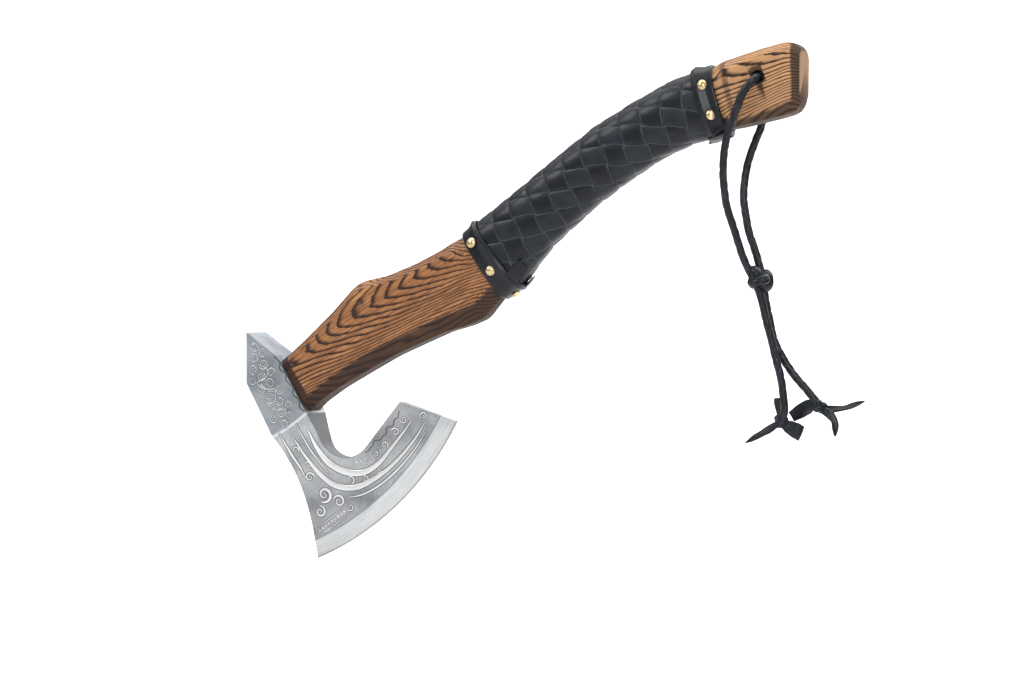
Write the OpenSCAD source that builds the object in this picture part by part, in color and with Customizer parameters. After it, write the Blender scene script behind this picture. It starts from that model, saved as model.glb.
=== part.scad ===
// Bearded carving hatchet standing on its toe, as it sits in a chopping block.
// The head and handle lie in the XZ plane, Y is across the cheeks.
// The origin is the toe of the cutting edge, +X runs towards the butt and +Z is up.

/* [Head] */
// Thickness of the eye block across the cheeks
eye_block_thickness = 30; // [26:1:36]
// Radius of the cutting edge
edge_radius = 212; // [180:1:240]
// Width of the ground bevel behind the edge
bevel_width = 12.5; // [8:0.5:18]
// Thickness left at the cutting edge
edge_thickness = 0.6; // [0.4:0.1:1.2]
// Radius of the hooked inside of the beard
beard_radius = 19; // [14:1:24]
// Width of the eye across the cheeks
eye_width = 20; // [16:1:22]
// Length of the eye from poll to blade
eye_length = 38; // [30:1:40]

/* [Handle] */
// Radius of the lanyard hole
lanyard_hole_radius = 4.25; // [3.5:0.25:5]
// Thickness of the wooden wedge at the outside of the eye
wood_wedge_thickness = 4; // [3:0.5:5]
// Thickness of the steel wedge at the outside of the eye
steel_wedge_thickness = 2.5; // [2:0.25:3.5]

/* [Leather grip] */
// Thickness of one leather strip
strip_thickness = 1; // [0.8:0.1:1.6]
// Number of strips that run along the grip
long_strip_count = 8; // [6:2:10]
// Number of strips that run round the grip
round_strip_count = 2; // [2:1:4]
// Degrees that a long strip turns along the grip
long_strip_twist = 325; // [240:5:360]
// Distance along the grip in which a round strip makes one turn
round_strip_pitch = 31.5; // [28:0.5:40]
// Thickness of the leather collars
collar_thickness = 1.9; // [1.4:0.1:2.4]
// Radius of a tack head
tack_head_radius = 3.6; // [3:0.1:4.5]
// Height of a tack head
tack_head_height = 1.9; // [1.2:0.1:2.5]
// Length of a tack shank
tack_shank_length = 9; // [6:1:12]

/* [Lanyard] */
// Diameter of the plaited leather cord
cord_diameter = 5.6; // [5:0.2:6.4]
// Radius of the knot that gathers the loop
loop_knot_radius = 9; // [8:0.5:10]
// Radius of the knots at the cord ends
end_knot_radius = 5; // [4.5:0.5:6]
// Thickness of the cut strips of the tassels
tassel_thickness = 1.4; // [1:0.1:2]

/* [Hidden] */

steel = [0.66, 0.67, 0.68];
wood = [0.62, 0.38, 0.2];
pale_wood = [0.75, 0.55, 0.33];
leather = [0.1, 0.11, 0.13];
brass = [0.75, 0.66, 0.42];

round_steps = 96;
long_axis_angle = 30.8;
edge_centre = [-81, 196];
eye_centre = [-26.9, 114.4];
beard_centre = [24, 90.4];
toe_hollow_centre = [-176.4, -10.9];
toe_hollow_radius = 176.7;
hole_centre = [325.5, 326];

// Head outline, from the top of the poll round by the toe and the heel.
head_outline = [
    [-48.5, 158], [-48.5, 122.5], [-29, 86.6], [0, 0],
    [60, 20], [113, 60], [113, 95.7], [65, 110.5],
    [38.6, 78.2], [7.4, 81.1], [-1.3, 101.7], [-25.3, 142.1]
];

// Cheek profile: how far in from the edge, half thickness.
cheek_profile = [[27, 3.4], [43, 4.6], [62, 7], [77, 10.5], [90, 15]];

// Handle sections: top x, z, bottom x, z, half thickness, top bevel, bottom bevel, roundness.
handle_sections = [
    [-23.3, 138.6, -2.3, 103.4, 12.5, 4, 6, 0],
    [-17, 143, 4, 109.5, 13.5, 4, 7, 0],
    [-4.5, 154, 19, 119.5, 14, 5, 8, 0],
    [16, 172.5, 43, 132.5, 14, 5, 9, 0],
    [33.5, 190.5, 57, 140, 14, 5, 9, 0],
    [41, 194, 64, 143.5, 14, 5, 9, 0],
    [58, 197.5, 84, 152, 14, 5, 9, 0],
    [78, 205, 101, 159, 14, 5, 9.5, 0],
    [97, 214, 117.5, 163.5, 14, 5, 10, 0],
    [106, 219.5, 128.5, 168, 14, 5, 10, 0.1],
    [113, 224.5, 142, 182.5, 13.4, 6, 9, 1],
    [124, 232, 154.5, 193.5, 13, 6, 9, 1],
    [149.8, 250.5, 175.6, 219.4, 13, 6, 9, 1],
    [184.6, 277, 208.4, 247.1, 13, 6, 9, 1],
    [209.9, 295.4, 231, 262.6, 13, 6, 9, 1],
    [235.8, 309.9, 254.8, 277.1, 13, 6, 9, 1],
    [261.2, 323, 277.6, 286.6, 13, 6, 9, 1],
    [278, 329, 290.5, 289, 13, 6, 9, 1],
    [292.5, 334, 304.5, 292.5, 13.3, 6, 9, 1],
    [299, 337, 310, 294, 13.5, 5, 4, 0.2],
    [325.3, 344.4, 336, 299.5, 13.5, 5, 6, 0],
    [343.5, 348.7, 346, 301.8, 13.5, 5, 8, 0],
    [350, 347.5, 351, 304.5, 12.2, 5, 8, 0],
    [353.5, 342.5, 353, 309, 10, 4, 6, 0]
];
first_grip_section = 10;
last_grip_section = 18;

// Directions of the sixteen corners of a section, from its top round by the front.
corner_angles = [15, 38, 62, 90, 118, 142, 165, 180, 195, 218, 242, 270, 298, 322, 345, 360];
roundness_power = 0.78;

// Gaps between the wood and the layers of leather.
wood_gap = 0.5;
layer_gap = 0.5;
round_layer = wood_gap;
long_layer = wood_gap + strip_thickness + layer_gap;
over_strips = long_layer + strip_thickness + 0.2;

// Where the strips begin and end, in mm from the first grip section.
strip_start = 10.5;
strip_end = 196;
// Where the collars begin, step up and end, counted in grip sections.
lower_collar_run = [0.04, 0.58, 1];
upper_collar_run = [7.96, 7.45, 7];
long_strip_steps = 34;
round_step_degrees = 12;
strip_fill = 0.95;

// Lanyard routes from the middle of the hole to the end knots.
front_route = [
    [325.5, 0, 326], [325.5, -9, 326], [325.4, -14, 325.9], [323.6, -17.5, 323.6], [320.4, -18.6, 319.8],
    [316.6, -18.8, 314], [313, -18.8, 305.5], [309.6, -18.8, 296.5], [306, -18.6, 285.5], [304.1, -18, 277],
    [303.4, -17, 267.5], [303, -15.6, 258], [303.6, -13.4, 247], [305.4, -11, 237], [307.9, -8.6, 227],
    [310.6, -6.4, 217.4], [313.2, -4.8, 208], [316.6, -3.6, 200], [321, -3, 192], [324, -3, 184],
    [327.3, -3, 172], [330.6, -3, 159], [334, -3, 146.2], [337.4, -3, 133.2], [339.9, -3, 120.2],
    [340.8, -3, 108.9], [338.4, -3, 101.5]
];
back_route = [
    [325.5, 0, 326], [325.5, 9, 326], [325.4, 14, 325.9], [324, 17.5, 323.2], [322.6, 18.6, 318],
    [321.4, 18.8, 309], [318.4, 18.8, 297], [314.6, 18.6, 287.8], [311.2, 18, 278], [308.4, 17, 268.1],
    [307.4, 15.4, 258.3], [307.8, 13, 246.7], [309.8, 10.6, 236.8], [313, 8.4, 225.3], [317, 6.2, 215.3],
    [320.6, 4.4, 206], [323, 3.2, 198], [324.4, 3, 190], [325.8, 3, 182], [328.4, 3, 169],
    [331.8, 3, 154.7], [338.6, 3, 141.3], [345.7, 3, 131.5], [354.2, 3, 121.8], [362.6, 3, 112]
];
loop_knot_centre = [322.9, 0, 194.3];
left_knot_centre = [338.4, -3, 101.5];
right_knot_centre = [363, 3, 111];
cord_sides = 8;

// Tack places: x, y, z and how far the head leans up or down.
lower_tacks = [[123.4, -15.6, 219.5, 14], [137.6, -15.6, 200.4, -14]];
upper_tacks = [[287.8, -15.6, 321.5, 12], [293.6, -15.6, 301.5, -12]];
lower_tack_axis = 40;
upper_tack_axis = 16;

// Point between two values, and between two sections.
function mix(a, b, t) = a + (b - a) * t;
function grip_section(s) =
    let (i = min(floor(s), last_grip_section - first_grip_section - 1))
    mix(handle_sections[first_grip_section + i], handle_sections[first_grip_section + i + 1], s - i);

// Grip section at a distance in mm from the first one.
function length_to(i) =
    i == 0
        ? 0
        : length_to(i - 1) + norm(
            section_middle(handle_sections[first_grip_section + i])
            - section_middle(handle_sections[first_grip_section + i - 1])
        );
function section_table() = [for (i = [0:last_grip_section - first_grip_section]) [length_to(i), i]];
function section_at(distance) = grip_section(lookup(distance, section_table()));

// Local frame of a section: middle, direction from bottom to top, half depth.
function section_middle(q) = [(q[0] + q[2]) / 2, 0, (q[1] + q[3]) / 2];
function section_rise(q) = [q[0] - q[2], 0, q[1] - q[3]];
function section_half_depth(q) = norm(section_rise(q)) / 2;
function section_point(q, up, across) =
    section_middle(q) + section_rise(q) / norm(section_rise(q)) * up + [0, across, 0];

// Rounded outline of a section, pushed out by a distance.
function signed_power(v) = sign(v) * pow(abs(v), roundness_power);
function rounded_point(q, angle, out) =
    section_point(
        q,
        (section_half_depth(q) + out) * signed_power(cos(angle)),
        -(q[4] + out) * signed_power(sin(angle))
    );

// Bevelled outline of a section: eight corners with a point in the middle of each side.
function bevel_corner(q, k) =
    let (
        h = section_half_depth(q),
        across = [q[4] - q[5], q[4], q[4], q[4] - 0.7 * q[6]][k < 4 ? k : 7 - k],
        up = [h, h - q[5], -h + q[6], -h][k < 4 ? k : 7 - k]
    )
    section_point(q, up, k < 4 ? -across : across);
function bevel_point(q, n) =
    n % 2 == 0
        ? bevel_corner(q, n / 2)
        : (bevel_corner(q, (n - 1) / 2) + bevel_corner(q, ((n + 1) / 2) % 8)) / 2;
function section_ring(q) = [
    for (n = [15:-1:0]) mix(bevel_point(q, n), rounded_point(q, corner_angles[n], 0), q[7])
];

function middle(ring) = (ring[4] + ring[12]) / 2;

// Solid through a row of rings with the same number of points.
// A closed row joins its last ring to its first. A hub fans each end out from its middle.
module skin(rings, closed = false, hub = false) {
    n = len(rings[0]);
    m = len(rings);
    last = closed ? m - 1 : m - 2;
    sides = [
        for (i = [0:last], j = [0:n - 1])
            each [
                [i * n + j, i * n + (j + 1) % n, ((i + 1) % m) * n + (j + 1) % n],
                [i * n + j, ((i + 1) % m) * n + (j + 1) % n, ((i + 1) % m) * n + j]
            ]
    ];
    flat_caps = [[for (j = [n - 1:-1:0]) j], [for (j = [0:n - 1]) (m - 1) * n + j]];
    fan_caps = [
        for (j = [0:n - 1])
            each [
                [m * n, (j + 1) % n, j],
                [m * n + 1, (m - 1) * n + j, (m - 1) * n + (j + 1) % n]
            ]
    ];
    caps = closed ? [] : hub ? fan_caps : flat_caps;
    hubs = hub ? [middle(rings[0]), middle(rings[m - 1])] : [];
    polyhedron(concat([for (r = rings) each r], hubs), concat(sides, caps), convexity = 6);
}

// Frame of the eye: X along the eye towards the butt, Z towards the poll.
module at_eye() {
    translate([eye_centre[0], 0, eye_centre[1]])
        rotate([0, -long_axis_angle, 0])
            children();
}

// Stadium-shaped bar along the eye.
module eye_bar(start, end) {
    half = (eye_length - eye_width) / 2;
    translate([start, -eye_width / 2, -half])
        cube([end - start, eye_width, 2 * half]);
    for (z = [-half, half])
        translate([start, 0, z])
            rotate([0, 90, 0])
                cylinder(h = end - start, r = eye_width / 2, $fn = round_steps);
}

// Disc with the ground bevel and hollow cheeks, round the centre of the edge.
module edge_disc() {
    half_block = eye_block_thickness / 2;
    side = concat(
        [[edge_radius, edge_thickness / 2], [edge_radius - bevel_width, 2.5]],
        [for (p = cheek_profile) [edge_radius - p[0], p[1] * half_block / 15]],
        [[0, half_block]]
    );
    other_side = [for (i = [len(side) - 1:-1:0]) [side[i][0], -side[i][1]]];
    translate([edge_centre[0], 0, edge_centre[1]])
        rotate([90, 0, 0])
            rotate_extrude($fn = 360)
                polygon(concat(side, other_side));
}

module axe_head() {
    color(steel)
        difference() {
            intersection() {
                rotate([90, 0, 0])
                    linear_extrude(height = eye_block_thickness, center = true)
                        polygon(head_outline);
                edge_disc();
            }
            translate([beard_centre[0], 0, beard_centre[1]])
                rotate([90, 0, 0])
                    cylinder(h = 40, r = beard_radius, center = true, $fn = round_steps);
            translate([toe_hollow_centre[0], 0, toe_hollow_centre[1]])
                rotate([90, 0, 0])
                    cylinder(h = 40, r = toe_hollow_radius, center = true, $fn = 360);
            at_eye()
                eye_bar(-30, 30);
        }
}

// Wedges driven into the end grain of the handle, from the outside of the eye.
module wood_wedge_shape() {
    t = wood_wedge_thickness / 2;
    at_eye()
        linear_extrude(height = 34, center = true)
            polygon([[-16, -t], [10, -0.6], [10, 0.6], [-16, t]]);
}

module steel_wedge_shape() {
    t = steel_wedge_thickness / 2;
    at_eye()
        rotate([90, 0, 0])
            linear_extrude(height = 16, center = true)
                polygon([[-16.2, -t], [3, -0.3], [3, 0.3], [-16.2, t]]);
}

module eye_wedge() {
    color(pale_wood)
        difference() {
            wood_wedge_shape();
            steel_wedge_shape();
        }
}

module steel_wedge() {
    color(steel)
        steel_wedge_shape();
}

module handle() {
    color(wood)
        difference() {
            union() {
                skin([for (q = handle_sections) section_ring(q)], hub = true);
                at_eye()
                    eye_bar(-15.5, 22);
            }
            wood_wedge_shape();
            steel_wedge_shape();
            translate([hole_centre[0], 0, hole_centre[1]])
                rotate([90, 0, 0])
                    cylinder(h = 60, r = lanyard_hole_radius, center = true, $fn = round_steps);
        }
}

// Leather band round the wood at one end of the grip, stepping up over the strip ends.
module collar(run) {
    thin = wood_gap;
    top = thin + collar_thickness;
    high = over_strips;
    color(leather)
        skin([
            for (angle = [0:10:350])
                let (a = run[0] < run[2] ? angle : -angle)
                [
                    rounded_point(grip_section(run[0]), a, thin),
                    rounded_point(grip_section(run[0]), a, top),
                    rounded_point(grip_section(mix(run[0], run[1], 0.8)), a, top),
                    rounded_point(grip_section(mix(run[1], run[2], 0.2)), a, high + collar_thickness),
                    rounded_point(grip_section(run[2]), a, high + collar_thickness),
                    rounded_point(grip_section(run[2]), a, high),
                    rounded_point(grip_section(mix(run[1], run[2], 0.2)), a, high),
                    rounded_point(grip_section(run[1]), a, thin)
                ]
        ], closed = true);
}

module lower_collar() {
    collar(lower_collar_run);
}

module upper_collar() {
    collar(upper_collar_run);
}

// Strip along the grip, turning slowly round it in the outer layer.
module long_strip(i) {
    span = 360 / long_strip_count;
    color(leather)
        skin([
            for (n = [0:long_strip_steps])
                let (
                    t = n / long_strip_steps,
                    q = section_at(mix(strip_start, strip_end, t)),
                    a = (i - 1) * span + long_strip_twist * t
                )
                concat(
                    [for (w = [-2:2]) rounded_point(q, a + w * strip_fill * span / 4, long_layer)],
                    [
                        for (w = [2:-1:-2])
                            rounded_point(q, a + w * strip_fill * span / 4, long_layer + strip_thickness)
                    ]
                )
        ]);
}

// Strip round the grip, turning fast the other way in the inner layer.
module round_strip(i) {
    band = round_strip_pitch / round_strip_count;
    first = strip_start - i * band;
    steps = floor(360 * (strip_end - first) / round_strip_pitch / round_step_degrees);
    color(leather)
        skin([
            for (n = [0:steps])
                let (
                    a = -n * round_step_degrees,
                    edge = first + n * round_step_degrees / 360 * round_strip_pitch,
                    low = max(edge, strip_start),
                    high = min(edge + strip_fill * band, strip_end),
                    mid = (low + high) / 2
                )
                if (high - low > 0.15 * band)
                    concat(
                        [for (v = [low, mid, high]) rounded_point(section_at(v), a, round_layer)],
                        [
                            for (v = [high, mid, low])
                                rounded_point(section_at(v), a, round_layer + strip_thickness)
                        ]
                    )
        ]);
}

module long_strip_1() {
    long_strip(1);
}

module long_strip_2() {
    long_strip(2);
}

module long_strip_3() {
    long_strip(3);
}

module long_strip_4() {
    long_strip(4);
}

module long_strip_5() {
    long_strip(5);
}

module long_strip_6() {
    long_strip(6);
}

module long_strip_7() {
    long_strip(7);
}

module long_strip_8() {
    long_strip(8);
}

module round_strip_1() {
    round_strip(1);
}

module round_strip_2() {
    round_strip(2);
}

// Domed tack with its shank, head along +Z and the surface at its origin.
module tack() {
    dome = (tack_head_radius * tack_head_radius + tack_head_height * tack_head_height) / (2 * tack_head_height);
    intersection() {
        translate([0, 0, tack_head_height - dome])
            sphere(r = dome, $fn = 48);
        cylinder(h = tack_head_height + 1, r = tack_head_radius, $fn = 48);
    }
    translate([0, 0, -tack_shank_length])
        cylinder(h = tack_shank_length + 0.2, r = 0.8, $fn = 24);
}

// Tacks on both faces of the grip, at each listed place.
module tack_pairs(places, axis_angle) {
    for (p = places, side = [1, -1])
        scale([1, side, 1])
            translate([p[0], p[1], p[2]])
                rotate([0, -axis_angle, 0])
                    rotate([90 - p[3], 0, 0])
                        tack();
}

module lower_collar_tacks() {
    color(brass) {
        tack_pairs(lower_tacks, lower_tack_axis);
        translate([150.3, 0, 184.9])
            rotate([0, 140, 0])
                tack();
    }
}

module upper_collar_tacks() {
    color(brass)
        tack_pairs(upper_tacks, upper_tack_axis);
}

// Round cord swept along a route.
function unit(v) = v / norm(v);
function route_direction(route, i) =
    unit(route[min(i + 1, len(route) - 1)] - route[max(i - 1, 0)]);
function cord_ring(centre, direction) =
    let (
        side = unit(cross(direction, [0.2, 0.3, 1])),
        up = cross(side, direction)
    )
    [
        for (k = [0:cord_sides - 1])
            centre + cord_diameter / 2 * (cos(k * 360 / cord_sides) * side + sin(k * 360 / cord_sides) * up)
    ];
module cord(route) {
    color(leather)
        skin([for (i = [0:len(route) - 1]) cord_ring(route[i], route_direction(route, i))]);
}

module lanyard_front_cord() {
    cord(front_route);
}

module lanyard_back_cord() {
    cord(back_route);
}

module lanyard_knot() {
    color(leather)
        translate(loop_knot_centre)
            sphere(r = loop_knot_radius, $fn = 48);
}

module left_end_knot() {
    color(leather)
        translate(left_knot_centre)
            sphere(r = end_knot_radius, $fn = 48);
}

module right_end_knot() {
    color(leather)
        translate(right_knot_centre)
            sphere(r = end_knot_radius, $fn = 48);
}

// Flat cut strip of leather lying in the XZ plane.
module tassel(outline, y) {
    color(leather)
        translate([0, y, 0])
            rotate([90, 0, 0])
                linear_extrude(height = tassel_thickness, center = true)
                    polygon(outline);
}

module tassel_left_long() {
    tassel([[335, 97], [338, 101], [327, 96], [314.5, 86.4], [325, 91.5]], -5);
}

module tassel_left_leaf() {
    tassel([[337, 97.5], [342, 102.5], [353.3, 99.3], [351.3, 88.7], [343, 94]], -2);
}

module tassel_left_short() {
    tassel([[332.5, 115.5], [337.5, 117.5], [340, 105], [335.5, 103]], 1.2);
}

module tassel_right_fold() {
    tassel([[352, 118], [360, 112], [361.7, 107], [350, 105.5], [342.7, 104.3]], 6.5);
}

module tassel_right_tip() {
    tassel([[365, 113], [366, 107.5], [379.8, 106.6], [393.9, 115.4], [379, 111.8]], 3.4);
}

module tassel_right_drop() {
    tassel([[362.5, 107], [366.5, 112], [380, 107.6], [373.5, 91.2], [371, 102]], 0.4);
}

axe_head();
handle();
eye_wedge();
steel_wedge();
lower_collar();
upper_collar();
lower_collar_tacks();
upper_collar_tacks();
long_strip_1();
long_strip_2();
long_strip_3();
long_strip_4();
long_strip_5();
long_strip_6();
long_strip_7();
long_strip_8();
round_strip_1();
round_strip_2();
lanyard_front_cord();
lanyard_back_cord();
lanyard_knot();
left_end_knot();
right_end_knot();
tassel_left_long();
tassel_left_leaf();
tassel_left_short();
tassel_right_fold();
tassel_right_tip();
tassel_right_drop();
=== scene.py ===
import bmesh, bpy, math
from mathutils import Euler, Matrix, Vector


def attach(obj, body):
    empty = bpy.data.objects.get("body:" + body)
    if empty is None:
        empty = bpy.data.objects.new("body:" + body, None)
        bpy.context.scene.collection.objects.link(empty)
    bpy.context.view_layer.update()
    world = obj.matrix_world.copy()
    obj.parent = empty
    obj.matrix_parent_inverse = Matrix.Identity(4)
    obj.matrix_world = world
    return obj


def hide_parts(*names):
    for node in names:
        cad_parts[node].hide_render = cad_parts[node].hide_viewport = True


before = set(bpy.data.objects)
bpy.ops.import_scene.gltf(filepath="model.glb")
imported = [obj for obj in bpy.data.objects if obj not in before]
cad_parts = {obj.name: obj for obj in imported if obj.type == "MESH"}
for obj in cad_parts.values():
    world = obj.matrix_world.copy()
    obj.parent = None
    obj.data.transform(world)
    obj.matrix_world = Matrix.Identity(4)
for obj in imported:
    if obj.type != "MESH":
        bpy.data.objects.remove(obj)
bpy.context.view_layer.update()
scene = bpy.context.scene
mm = 0.001
print("frame loaded")

# camera: long lens, a little round towards the butt of the handle
cameraSetup = {"azimuth": 22.5, "elevation": 0.8, "distance": 1.934, "lens": 100, "aim": (0.147, 0, 0.1525)}


def placeCamera(setup):
    data = bpy.data.cameras.new("camera")
    data.lens = setup["lens"]
    data.sensor_width = 36
    data.clip_end = 50
    camera = bpy.data.objects.new("camera", data)
    scene.collection.objects.link(camera)
    turn = math.radians(setup["azimuth"])
    lift = math.radians(setup["elevation"])
    back = Vector((math.sin(turn) * math.cos(lift), -math.cos(turn) * math.cos(lift), math.sin(lift)))
    camera.location = Vector(setup["aim"]) + back * setup["distance"]
    camera.rotation_euler = back.to_track_quat("Z", "Y").to_euler()
    scene.camera = camera


placeCamera(cameraSetup)


# shader maths: a Wire is one output socket, and Python operators on it add Math nodes
class Wire:
    def __init__(self, paint, socket):
        self.paint = paint
        self.socket = socket

    def math(self, operation, *values, clamp=False):
        settings = {"operation": operation, "use_clamp": clamp}
        return self.paint.node("ShaderNodeMath", settings, dict(enumerate(values)))

    def __add__(self, other):
        return self.math("ADD", self, other)

    def __radd__(self, other):
        return self.math("ADD", other, self)

    def __sub__(self, other):
        return self.math("SUBTRACT", self, other)

    def __rsub__(self, other):
        return self.math("SUBTRACT", other, self)

    def __mul__(self, other):
        return self.math("MULTIPLY", self, other)

    def __rmul__(self, other):
        return self.math("MULTIPLY", other, self)

    def __truediv__(self, other):
        return self.math("DIVIDE", self, other)

    def __pow__(self, other):
        return self.math("POWER", self, other)

    def fraction(self):
        return self.math("FRACT", self)

    def size(self):
        return self.math("ABSOLUTE", self)

    def step(self, low, high):  # 0 below low, 1 above high, smooth between; low may be above high
        settings = {"interpolation_type": "SMOOTHSTEP", "clamp": True}
        if low < high:
            return self.paint.node("ShaderNodeMapRange", settings, {0: self, 1: low, 2: high})
        return self.paint.node("ShaderNodeMapRange", settings, {0: self, 1: high, 2: low, 3: 1.0, 4: 0.0})


class Paint:
    def __init__(self, name, **constants):
        self.material = bpy.data.materials.new(name)
        self.material.use_nodes = True
        self.tree = self.material.node_tree
        self.shader = self.tree.nodes["Principled BSDF"]
        for socket, value in constants.items():
            self.shader.inputs[socket.replace("_", " ")].default_value = value
        self.place = self.node("ShaderNodeTexCoord", output="Object")

    def node(self, kind, settings=None, inputs=None, output=0):
        made = self.tree.nodes.new(kind)
        for key, value in (settings or {}).items():
            if key == "stops":
                ramp = made.color_ramp
                while len(ramp.elements) < len(value):
                    ramp.elements.new(0.5)
                for element, (spot, colour) in zip(ramp.elements, value):
                    element.position = spot
                    element.color = (*colour, 1)
            else:
                setattr(made, key, value)
        for key, value in (inputs or {}).items():
            if isinstance(value, Wire):
                self.tree.links.new(value.socket, made.inputs[key])
            else:
                made.inputs[key].default_value = value
        return Wire(self, made.outputs[output])

    def axis(self, letter, wire=None):
        return self.node("ShaderNodeSeparateXYZ", None, {0: wire or self.place}, "XYZ".index(letter))

    def vector(self, x, y, z):
        return self.node("ShaderNodeCombineXYZ", None, {0: x, 1: y, 2: z})

    def noise(self, scale, detail=3.0, roughness=0.55, place=None, warp=0.0):
        values = {"Vector": place or self.place, "Scale": scale, "Detail": detail, "Roughness": roughness}
        return self.node("ShaderNodeTexNoise", None, {**values, "Distortion": warp})

    def cells(self, scale):
        return self.node("ShaderNodeTexVoronoi", {"feature": "F1"}, {"Vector": self.place, "Scale": scale})

    def ramp(self, wire, stops):
        return self.node("ShaderNodeValToRGB", {"stops": stops}, {0: wire})

    def blend(self, share, first, second):
        socket = {"data_type": "RGBA", "clamp_factor": True}
        first = first if isinstance(first, Wire) else (*first, 1)
        second = second if isinstance(second, Wire) else (*second, 1)
        return self.node("ShaderNodeMix", socket, {0: share, 6: first, 7: second}, 2)

    def attribute(self, name):
        return self.node("ShaderNodeAttribute", {"attribute_name": name}, None, "Fac")

    def bump(self, height, strength, distance):
        values = {"Strength": strength, "Distance": distance, "Height": height}
        return self.node("ShaderNodeBump", None, values)

    def connect(self, **wires):
        for socket, wire in wires.items():
            self.tree.links.new(wire.socket, self.shader.inputs[socket.replace("_", " ")])
        return self.material


# floor and light
studio = {"floor": (0.88, 0.88, 0.88), "world": 0.3, "key": 26, "fill": 24, "rim": 9, "top": 36, "back": 125}


def buildStudio(look):
    paint = Paint("paleFloor", Base_Color=(*look["floor"], 1), Roughness=0.8)
    speck = paint.noise(9.0, 2.0)
    floorMaterial = paint.connect(Roughness=0.75 + speck * 0.1)
    profile = [(-5.0, 0.0), (1.6, 0.0)]
    for step in range(1, 13):
        angle = math.radians(90 * step / 12)
        profile.append((1.6 + 1.5 * math.sin(angle), 1.5 - 1.5 * math.cos(angle)))
    profile.append((3.1, 5.0))
    verts = [(side * 7.0, y, z - 0.0002) for y, z in profile for side in (-1, 1)]
    faces = [(2 * i, 2 * i + 1, 2 * i + 3, 2 * i + 2) for i in range(len(profile) - 1)]
    mesh = bpy.data.meshes.new("floor")
    mesh.from_pydata(verts, [], faces)
    mesh.materials.append(floorMaterial)
    mesh.shade_smooth()
    floor = bpy.data.objects.new("floor", mesh)
    scene.collection.objects.link(floor)
    world = bpy.data.worlds.new("studio")
    world.use_nodes = True
    world.node_tree.nodes["Background"].inputs[0].default_value = (1, 1, 1, 1)
    world.node_tree.nodes["Background"].inputs[1].default_value = look["world"]
    scene.world = world
    lamps = [
        ("key", (-1.1, -1.3, 1.5), (0.15, 0, 0.18), 0.9, look["key"]),
        ("fill", (1.15, -1.9, 1.0), (0.15, 0, 0.18), 0.8, look["fill"]),
        ("rim", (0.9, 1.2, 1.5), (0.15, 0, 0.18), 1.0, look["rim"]),
        ("top", (0.2, -0.5, 2.7), (0.2, 0.2, 0), 3.0, look["top"]),
        ("back", (0.0, 0.9, 2.4), (0.0, 3.1, 0.9), 3.5, look["back"]),
    ]
    for name, spot, aim, width, power in lamps:
        data = bpy.data.lights.new(name, "AREA")
        data.size = width
        data.energy = power
        lamp = bpy.data.objects.new(name, data)
        lamp.location = spot
        lamp.rotation_euler = (Vector(spot) - Vector(aim)).to_track_quat("Z", "Y").to_euler()
        scene.collection.objects.link(lamp)
    scene.view_settings.view_transform = "Standard"


buildStudio(studio)
print("studio done")


# leather
def leather(name, base, sheenTone, roughness, grain, streak):
    paint = Paint(name, Specular_IOR_Level=0.2, Coat_Weight=0.1, Coat_Roughness=0.13)
    broad = paint.noise(70.0, 4.0, 0.6)
    pores = paint.cells(grain)
    wrinkles = paint.noise(grain * 0.55, 5.0, 0.65, warp=0.6)
    tone = (broad * 0.75 + wrinkles * 0.35).step(0.3, 0.85)
    colour = paint.blend(tone, base, sheenTone)
    # painted highlight: lighter colour along the strip edges, broken up by wrinkle noise
    paintedEdgeHighlight = paint.attribute("rim") * wrinkles.step(0.3, 0.6)
    colour = paint.blend(paintedEdgeHighlight * 0.8, colour, (0.06, 0.068, 0.082))
    rough = roughness - 0.12 * broad + 0.22 * wrinkles
    height = pores * 0.5 + wrinkles * (0.8 + streak)
    return paint.connect(Base_Color=colour, Roughness=rough, Normal=paint.bump(height, 0.32, 0.0004))


leatherTones = {  # dark tone, light tone of painted sheen laid in by noise, roughness, grain scale, extra wrinkle
    "smoothStrapLeather": ((0.002, 0.0028, 0.0045), (0.006, 0.008, 0.012), 0.34, 1500.0, 0.0),
    "grainedStrapLeather": ((0.0032, 0.0044, 0.0068), (0.0135, 0.0175, 0.0245), 0.4, 2300.0, 0.6),
    "pressedCollarLeather": ((0.002, 0.0028, 0.0045), (0.006, 0.008, 0.012), 0.3, 1300.0, 0.0),
    "plaitedLeather": ((0.0028, 0.0038, 0.006), (0.013, 0.017, 0.024), 0.3, 1700.0, 0.0),
    "cutEndLeather": ((0.0024, 0.0034, 0.0055), (0.0075, 0.0102, 0.015), 0.46, 1500.0, 0.0),
}
strapLeather, grainLeather, collarLeather, cordLeather, tasselLeather = [
    leather(name, *tones) for name, tones in leatherTones.items()]


# mesh helpers
def addPiece(name, verts, faces, material, smooth=True):
    mesh = bpy.data.meshes.new(name)
    mesh.from_pydata([tuple(v) for v in verts], [], faces)
    mesh.materials.append(material)
    if smooth:
        mesh.shade_smooth()
    mesh.validate()
    piece = bpy.data.objects.new(name, mesh)
    scene.collection.objects.link(piece)
    return piece


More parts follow.
